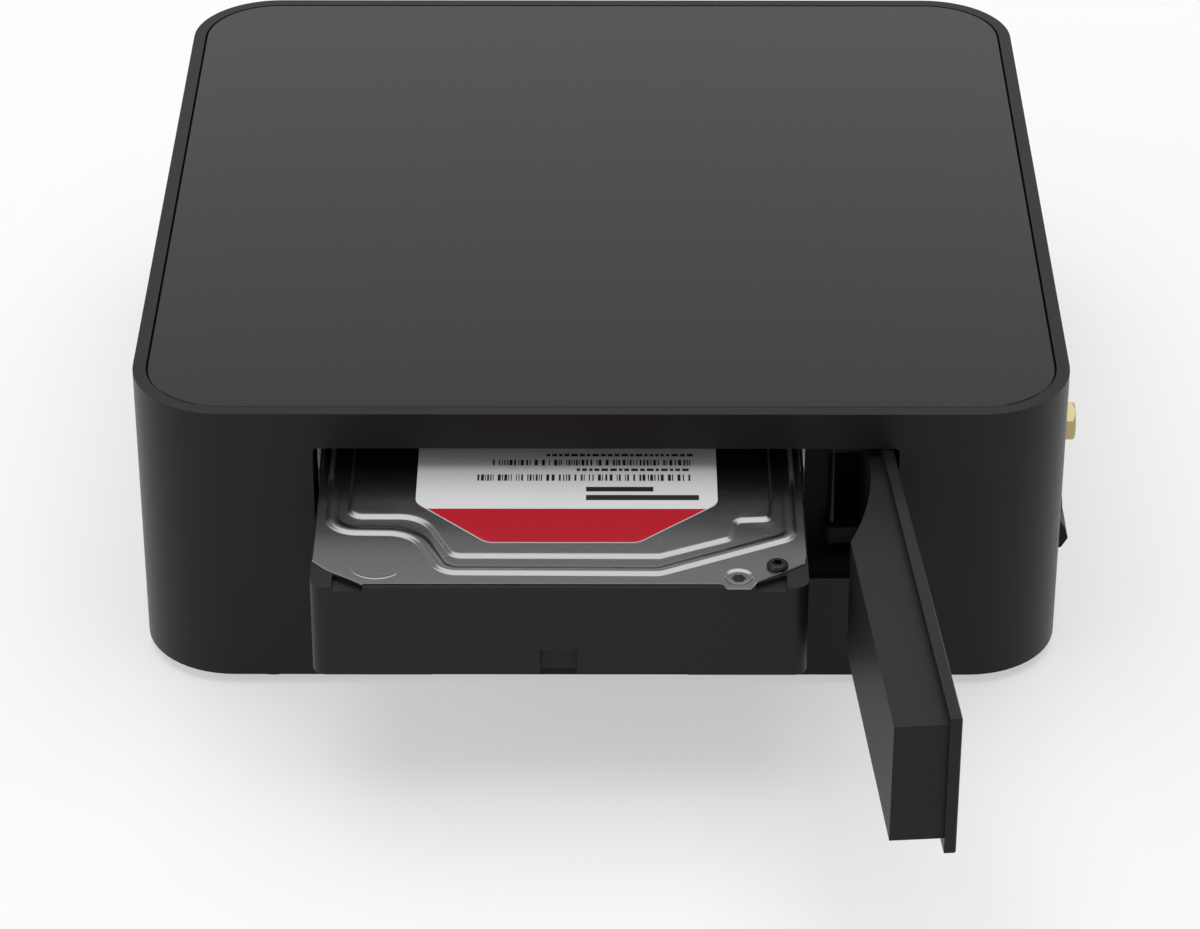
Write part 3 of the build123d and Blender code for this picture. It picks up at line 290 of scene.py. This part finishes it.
class Sheet:
    """A mesh made of closed rings, bands between rings and flat fills, in millimetres."""

    def __init__(self, origin):
        self.mesh = bmesh.new()
        self.origin = Vector(origin)

    def ring(self, points, height):
        """A closed ring at a height, as its flat points and its vertices."""
        made = []
        for point in points:
            at = self.origin + Vector((point.x, point.y, height)) * MM
            made.append(self.mesh.verts.new(at))
        return points, made

    def band(self, first, second):
        lower, upper = first[1], second[1]
        for index in range(len(lower)):
            self.mesh.faces.new((lower[index - 1], lower[index], upper[index], upper[index - 1]))

    def bands(self, rings):
        for first, second in zip(rings, rings[1:]):
            self.band(first, second)

    def fill(self, outer, holes=()):
        """Closes the flat area between an outer ring and rings inside it."""
        loops = [outer, *holes]
        points, owners, edges = [], [], []
        for outline, verts in loops:
            first = len(points)
            points += [Vector((point.x, point.y)) for point in outline]
            owners += verts
            size = len(outline)
            edges += [(first + index, first + (index + 1) % size) for index in range(size)]
        found = geometry.delaunay_2d_cdt(points, edges, [], 0, 1e-6)
        places, faces, origins = found[0], found[2], found[3]
        for face in faces:
            middle = sum((places[index] for index in face), Vector((0, 0))) / len(face)
            if not inside(middle, outer[0]) or any(inside(middle, hole[0]) for hole in holes):
                continue
            corners = [owners[origins[index][0]] for index in face]
            if len(set(corners)) == 3:
                self.mesh.faces.new(corners)

    def finish(self, name, material, body, sharp=40):
        """Makes the piece, with edges sharp where its faces meet at more than an angle."""
        bmesh.ops.recalc_face_normals(self.mesh, faces=self.mesh.faces)
        data = bpy.data.meshes.new(name)
        self.mesh.to_mesh(data)
        self.mesh.free()
        data.materials.append(material)
        data.shade_smooth()
        data.set_sharp_from_angle(angle=math.radians(sharp))
        piece = bpy.data.objects.new(name, data)
        bpy.context.collection.objects.link(piece)
        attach(piece, body)
        return piece


# ---------------------------------------------------------------- pressed cover of the drive
# Drive places are millimetres from the left and the front of the drive's base.
COVER_OUTLINE = [
    (0.1, 141.0, 1.5), (0.1, 9.4, 0.8), (2.9, 6.2, 1.5), (10.4, 1.0, 1.0), (83.6, 1.0, 0.5),
    (84.9, -0.6, 0.5), (89.9, -0.6, 0.5), (91.0, 1.6, 0.5), (101.0, 8.6, 1.2), (101.5, 11.0, 1.2),
    (101.5, 141.0, 1.5),
]
OUTER_STEP = [
    (1.8, 136.0, 3.0), (1.8, 19.0, 7.0), (19.8, 18.6, 7.0), (26.0, 3.9, 6.0), (71.5, 3.6, 5.0),
    (99.9, 17.4, 5.0), (99.9, 136.0, 3.0),
]
INNER_STEP = [
    (7.4, 131.0, 3.0), (7.4, 25.9, 2.5), (22.4, 25.9, 8.0), (29.2, 11.0, 2.2), (71.2, 10.9, 1.0),
    (85.4, 17.4, 1.4), (86.8, 24.6, 2.4), (93.6, 25.0, 0.9), (94.2, 33.0, 3.0), (94.2, 131.0, 3.0),
]
BORDER_STEPS = 5
RELIEF_STEPS = 12
EDGE_ROUND = 0.18
BORDER_WIDTH = 0.4
# Pairs of distance inside the outline and height over the flange.
OUTER_PROFILE = [(-0.3, 0.0), (0.0, 0.0), (0.25, 0.05), (0.5, 0.2), (0.8, 0.38), (1.2, 0.47),
                 (1.7, 0.5), (2.2, 0.47), (2.6, 0.38), (2.9, 0.26), (3.15, 0.2), (3.4, 0.18),
                 (3.6, 0.18)]
INNER_PROFILE = [(-1.2, 0.18), (-1.0, 0.2), (-0.75, 0.3), (-0.45, 0.48), (-0.15, 0.62),
                 (0.15, 0.68), (0.45, 0.7)]
DISH = (87.3, 3.4)
# Pairs of radius and depth under the flange.
DISH_PROFILE = [(3.3, 0.0), (3.1, 0.0), (2.85, 0.1), (2.6, 0.28), (2.4, 0.32), (1.4, 0.32)]


def drive_origin():
    """The drive base's left front corner, at the height of the cover's flange."""
    low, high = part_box("drive_base")
    return low[0], low[1], high[2]


def flange_thickness():
    """The cover's whole height less its relief."""
    low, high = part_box("drive_cover")
    return (high[2] - low[2]) / MM - INNER_PROFILE[-1][1]


def make_cover(finishes):
    """The pressed cover: a flange with one raised step inside another, and a round dish."""
    sheet = Sheet(drive_origin())
    flange = flange_thickness()
    edge = ((0.0, 0.0), (0.0, flange - EDGE_ROUND), (EDGE_ROUND, flange), (BORDER_WIDTH, flange))
    border = [sheet.ring(rounded(COVER_OUTLINE, inset, BORDER_STEPS), height)
              for inset, height in edge]
    sheet.bands(border)
    sheet.fill(border[0])
    relief = []
    for outline, profile in ((OUTER_STEP, OUTER_PROFILE), (INNER_STEP, INNER_PROFILE)):
        rings = [sheet.ring(rounded(outline, inset, RELIEF_STEPS), flange + height)
                 for inset, height in profile]
        sheet.bands(rings)
        relief.append(rings)
    outer, inner = relief
    sheet.fill(outer[-1], [inner[0]])
    sheet.fill(inner[-1])
    dish = [sheet.ring(ring_points(DISH, radius), flange - depth) for radius, depth in DISH_PROFILE]
    sheet.bands(dish)
    sheet.fill(dish[-1])
    sheet.fill(border[-1], [outer[0], dish[0]])
    cover = sheet.finish("cover_pressing", finishes["pressing"], "drive")
    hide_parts("drive_cover")


# ---------------------------------------------------------------- small pieces on the cover
SCREW_PLACES = [(95.3, 7.3), (4.6, 96.0), (97.0, 96.0), (4.6, 139.5), (97.0, 139.5)]
SCREW_POINTS = 36
# Pairs of radius and height over the flange.
SCREW_PROFILE = [(2.25, 0.0), (2.25, 0.4), (2.05, 0.75), (1.65, 0.97), (1.25, 1.05)]
SOCKET_PROFILE = [(0.95, 1.03), (0.9, 0.35)]
SOCKET_LOBES = 6
LOBE_SHARE = 0.16
# The dark plate that stands as painted shade for the dish's hole: its radius, corner count and
# depths under the flange.
HOLE_RADIUS = 1.5
HOLE_POINTS = 6
HOLE_DEPTHS = (0.37, 0.29)
EMBOSS_CENTRE = (13.4, 8.2)
EMBOSS_RADIUS = 5.4
EMBOSS_START = 188
EMBOSS_SWEEP = 130
EMBOSS_STEPS = 24
# Pairs of half width and height over the flange.
EMBOSS_PROFILE = [(0.35, 0.0), (0.15, 0.07)]


def lobed_points(centre, radius):
    """A ring whose radius swells at each lobe of a screw's socket."""
    points = []
    for index in range(SCREW_POINTS):
        angle = math.tau * index / SCREW_POINTS
        reach = radius * (1 + LOBE_SHARE * math.cos(SOCKET_LOBES * angle))
        points.append(arc_point(centre, reach, angle))
    return points


def make_screw(name, place, finishes):
    """A domed screw with a six-lobed socket."""
    sheet = Sheet(drive_origin())
    flange = flange_thickness()
    rings = [sheet.ring(ring_points(place, radius, SCREW_POINTS), flange + lift)
             for radius, lift in SCREW_PROFILE]
    rings += [sheet.ring(lobed_points(place, radius), flange + lift)
              for radius, lift in SOCKET_PROFILE]
    sheet.bands(rings)
    sheet.fill(rings[-1])
    sheet.fill(rings[0])
    return sheet.finish(name, finishes["black_screw"], "drive", 35)


def make_emboss(finishes):
    """A faint raised arc in the cover's left front corner."""
    sheet = Sheet(drive_origin())
    angles = [math.radians(EMBOSS_START + step * EMBOSS_SWEEP / EMBOSS_STEPS)
              for step in range(EMBOSS_STEPS + 1)]
    rings = []
    for spread, lift in EMBOSS_PROFILE:
        outer = [arc_point(EMBOSS_CENTRE, EMBOSS_RADIUS + spread, angle) for angle in angles]
        inner = [arc_point(EMBOSS_CENTRE, EMBOSS_RADIUS - spread, angle)
                 for angle in reversed(angles)]
        rings.append(sheet.ring(outer + inner, flange_thickness() + lift))
    sheet.bands(rings)
    sheet.fill(rings[0])
    sheet.fill(rings[1])
    sheet.finish("cover_emboss", finishes["pressing"], "drive", 50)


def make_dish_hole_shade(finishes):
    """A dark six-sided plate in the floor of the dish: painted shade for the inside of its hole."""
    sheet = Sheet(drive_origin())
    rings = [sheet.ring(ring_points(DISH, HOLE_RADIUS, HOLE_POINTS), flange_thickness() - depth)
             for depth in HOLE_DEPTHS]
    sheet.bands(rings)
    sheet.fill(rings[0])
    sheet.fill(rings[1])
    # The dark screw finish serves here as painted shade.
    sheet.finish("dish_hole_painted_shade", finishes["black_screw"], "drive", 35)


def make_drive_screws(finishes):
    made = [make_screw(f"cover_screw_{index}", place, finishes)
            for index, place in enumerate(SCREW_PLACES)]
    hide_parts("drive_screws")


# ---------------------------------------------------------------- painted highlights on the bay's walls
# Distances out from the drive's side, and back from the bay's front.
SIDE_GAP = 0.7
HIGHLIGHT_THICKNESS = 0.25
HIGHLIGHT_TIP = 0.12
HIGHLIGHT_FRONT = 0.2
HIGHLIGHT_TAPER = (0.4, 1.2)
HIGHLIGHT_BACK = 48.0
HIGHLIGHT_RISE = 1.0
HIGHLIGHT_MARGIN = 0.3


def make_wall_highlights(finishes):
    """Bright strips on the bay's side walls, each thinner at its front: painted highlight standing
    in for the lit faces of the walls.
    """
    low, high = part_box("drive_base")
    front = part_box("bay_frame")[0][1]
    bottom, top = (value[2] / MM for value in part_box("door_plate"))
    bottom += HIGHLIGHT_RISE
    outline = [
        (SIDE_GAP, HIGHLIGHT_FRONT), (SIDE_GAP, HIGHLIGHT_BACK), (SIDE_GAP - HIGHLIGHT_THICKNESS, HIGHLIGHT_BACK),
        (SIDE_GAP - HIGHLIGHT_THICKNESS, HIGHLIGHT_TAPER[1]), (SIDE_GAP - HIGHLIGHT_TIP, HIGHLIGHT_TAPER[0]),
    ]
    for side, edge in ((-1, low[0]), (1, high[0])):
        sheet = Sheet((edge, front, 0.0))
        points = [Vector((side * x, y)) for x, y in outline]
        if side > 0:
            points.reverse()
        heights = (bottom, bottom + HIGHLIGHT_MARGIN, top - HIGHLIGHT_MARGIN, top)
        rings = [sheet.ring(points, height) for height in heights]
        sheet.bands(rings)
        sheet.fill(rings[0])
        sheet.fill(rings[-1])
        sheet.finish(f"bay_wall_highlight_{side + 1}", finishes["wall_highlight"], "housing", 30)


# ---------------------------------------------------------------- label
LABEL_OUTLINE = [
    (20.5, 104.0, 3.0), (20.5, 30.4, 4.0), (35.6, 15.0, 4.0), (67.0, 15.0, 4.0), (83.6, 30.0, 4.0),
    (83.6, 104.0, 3.0),
]
LABEL_STEPS = 6
LABEL_LIFT = 0.1
RED_EDGE = 28.0
RED_INSET = 0.15
INK_LIFT = 0.02
INK_SEED = 7
BAR_WIDTHS = (0.18, 0.25, 0.4, 0.62)
BAR_GAPS = (0.25, 0.35, 0.5, 0.9)
DASH_WIDTHS = (0.7, 1.0, 1.4)
DASH_GAP = 0.45
LEAST_DASH = 0.6
# The dashed lines of the label's middle: their left end, the right end of the shortest, how much
# longer each of three in turn is, the front of the first, their spacing and their width.
TEXT_LEFT = 26.0
TEXT_RIGHT = 60.0
TEXT_STEP = 3.0
TEXT_FRONT = 56.0
TEXT_SPACING = 3.0
TEXT_WIDTH = 1.1
TEXT_COUNT = 7


def make_label(finishes):
    """The label's paper, its red front band and its print."""
    origin = drive_origin()
    top = flange_thickness() + INNER_PROFILE[-1][1]
    sheet = Sheet(origin)
    rings = [sheet.ring(rounded(LABEL_OUTLINE, 0.0, LABEL_STEPS), height)
             for height in (top, top + LABEL_LIFT)]
    sheet.bands(rings)
    sheet.fill(rings[0])
    sheet.fill(rings[1])
    label = sheet.finish("label_paper", finishes["label"], "drive")
    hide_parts("drive_label")
    ink_height = top + LABEL_LIFT + INK_LIFT
    band = Sheet(origin)
    red_outline = below(rounded(LABEL_OUTLINE, RED_INSET, LABEL_STEPS), RED_EDGE)
    band.fill(band.ring(red_outline, ink_height))
    band.finish("label_band", finishes["label_red"], "drive")
    make_ink(origin, ink_height, finishes)


def make_ink(origin, height, finishes):
    """Plain bars and dashes where such a label has its print."""
    draw = random.Random(INK_SEED)
    sheet = Sheet(origin)

    def bar(left, right, front, back):
        corners = ((left, front), (right, front), (right, back), (left, back))
        sheet.fill(sheet.ring([Vector(corner) for corner in corners], height))

    def bar_row(left, right, front, back):
        x = left
        while x < right:
            width = draw.choice(BAR_WIDTHS)
            bar(x, min(right, x + width), front, back)
            x += width + draw.choice(BAR_GAPS)

    def dash_row(left, right, front, back):
        x = left
        while x < right - LEAST_DASH:
            width = draw.choice(DASH_WIDTHS)
            bar(x, min(right, x + width), front, back)
            x += width + DASH_GAP

    bar_row(33.2, 78.5, 39.0, 41.5)
    bar_row(36.3, 78.6, 45.1, 47.4)
    dash_row(54.1, 78.3, 42.9, 43.9)
    dash_row(47.7, 78.7, 48.8, 49.8)
    bar(56.1, 79.7, 31.4, 33.4)
    bar(56.1, 70.2, 34.8, 36.6)
    for index in range(TEXT_COUNT):
        right = TEXT_RIGHT + TEXT_STEP * (index % 3)
        front = TEXT_FRONT + TEXT_SPACING * index
        dash_row(TEXT_LEFT, right, front, front + TEXT_WIDTH)
    bar_row(TEXT_LEFT, 62.0, 82.0, 88.0)
    dash_row(TEXT_LEFT, 74.0, 92.0, 93.4)
    sheet.finish("label_ink", finishes["label_ink"], "drive")


# ---------------------------------------------------------------- stage and light
FLOOR_SIZE = 12
FLOOR_COLOUR = 0.42
FLOOR_ROUGH = 0.9
FLOOR_SPECULAR = 0.1
FLOOR_GLOW = 0.48
# Brightness of the surroundings by the height of the direction, where 0 is level and 1 is
# straight up. All below level is as bright as level itself.
LEVEL_BRIGHTNESS = 0.35
TOP_BRIGHTNESS = 0.5
WORLD_STOPS = ((0.3, 1.1), (0.45, 1.1), (0.57, 0.12), (0.7, 0.35))
# Each lamp's name, place from the casing's middle, width and power, in metres and watts.
LAMPS = (
    ("overhead", (0.0, 0.1, 1.5), 2.0, 22.0),
    ("left_side", (-1.3, -0.75, 0.55), 1.1, 5.5),
)
LAMP_TARGET_HEIGHT = 0.03


def make_floor():
    """A pale floor that takes shadows, and glows only where a camera or a reflection sees it."""
    bpy.ops.mesh.primitive_plane_add(size=FLOOR_SIZE)
    floor = bpy.context.object
    floor.name = "floor"
    material = bpy.data.materials.new("floor")
    material.use_nodes = True
    nodes = material.node_tree.nodes
    shader = nodes["Principled BSDF"]
    shader.inputs["Base Color"].default_value = (FLOOR_COLOUR, FLOOR_COLOUR, FLOOR_COLOUR, 1)
    shader.inputs["Roughness"].default_value = FLOOR_ROUGH
    shader.inputs["Specular IOR Level"].default_value = FLOOR_SPECULAR
    shader.inputs["Emission Color"].default_value = (FLOOR_GLOW, FLOOR_GLOW, FLOOR_GLOW, 1)
    links = material.node_tree.links
    ray = nodes.new("ShaderNodeLightPath")
    seen = ray.outputs["Is Camera Ray"]
    for kind in ("Is Glossy Ray", "Is Transmission Ray"):
        either = nodes.new("ShaderNodeMath")
        either.operation = "MAXIMUM"
        links.new(seen, either.inputs[0])
        links.new(ray.outputs[kind], either.inputs[1])
        seen = either.outputs[0]
    links.new(seen, shader.inputs["Emission Strength"])
    floor.data.materials.append(material)


def make_world():
    """Pale surroundings, brighter near the horizon."""
    world = bpy.data.worlds.new("surroundings")
    bpy.context.scene.world = world
    world.use_nodes = True
    nodes = world.node_tree.nodes
    links = world.node_tree.links
    back = nodes["Background"]
    back.inputs["Strength"].default_value = 1.0
    place = nodes.new("ShaderNodeTexCoord")
    parts = nodes.new("ShaderNodeSeparateXYZ")
    ramp = nodes.new("ShaderNodeValToRGB")
    links.new(place.outputs["Generated"], parts.inputs["Vector"])
    links.new(parts.outputs["Z"], ramp.inputs["Fac"])
    links.new(ramp.outputs["Color"], back.inputs["Color"])
    stops = ramp.color_ramp.elements
    for stop, level in zip(stops, (LEVEL_BRIGHTNESS, TOP_BRIGHTNESS)):
        stop.color = (level, level, level, 1)
    for position, level in WORLD_STOPS:
        stop = stops.new(position)
        stop.color = (level, level, level, 1)


def make_lights():
    middle_x, middle_y = case_origin()
    target = Vector((middle_x, middle_y, LAMP_TARGET_HEIGHT))
    for name, (x, y, z), size, power in LAMPS:
        data = bpy.data.lights.new(name, "AREA")
        data.energy = power
        data.size = size
        lamp = bpy.data.objects.new(name, data)
        lamp.location = (middle_x + x, middle_y + y, z)
        lamp.rotation_euler = (target - lamp.location).to_track_quat("-Z", "Y").to_euler()
        bpy.context.collection.objects.link(lamp)


finishes = make_finishes()
make_camera()
dress_nodes(finishes)
make_cover(finishes)
make_drive_screws(finishes)
make_emboss(finishes)
make_dish_hole_shade(finishes)
make_label(finishes)
make_wall_highlights(finishes)
make_floor()
make_world()
make_lights()

bpy.context.scene.view_settings.view_transform = "Standard"
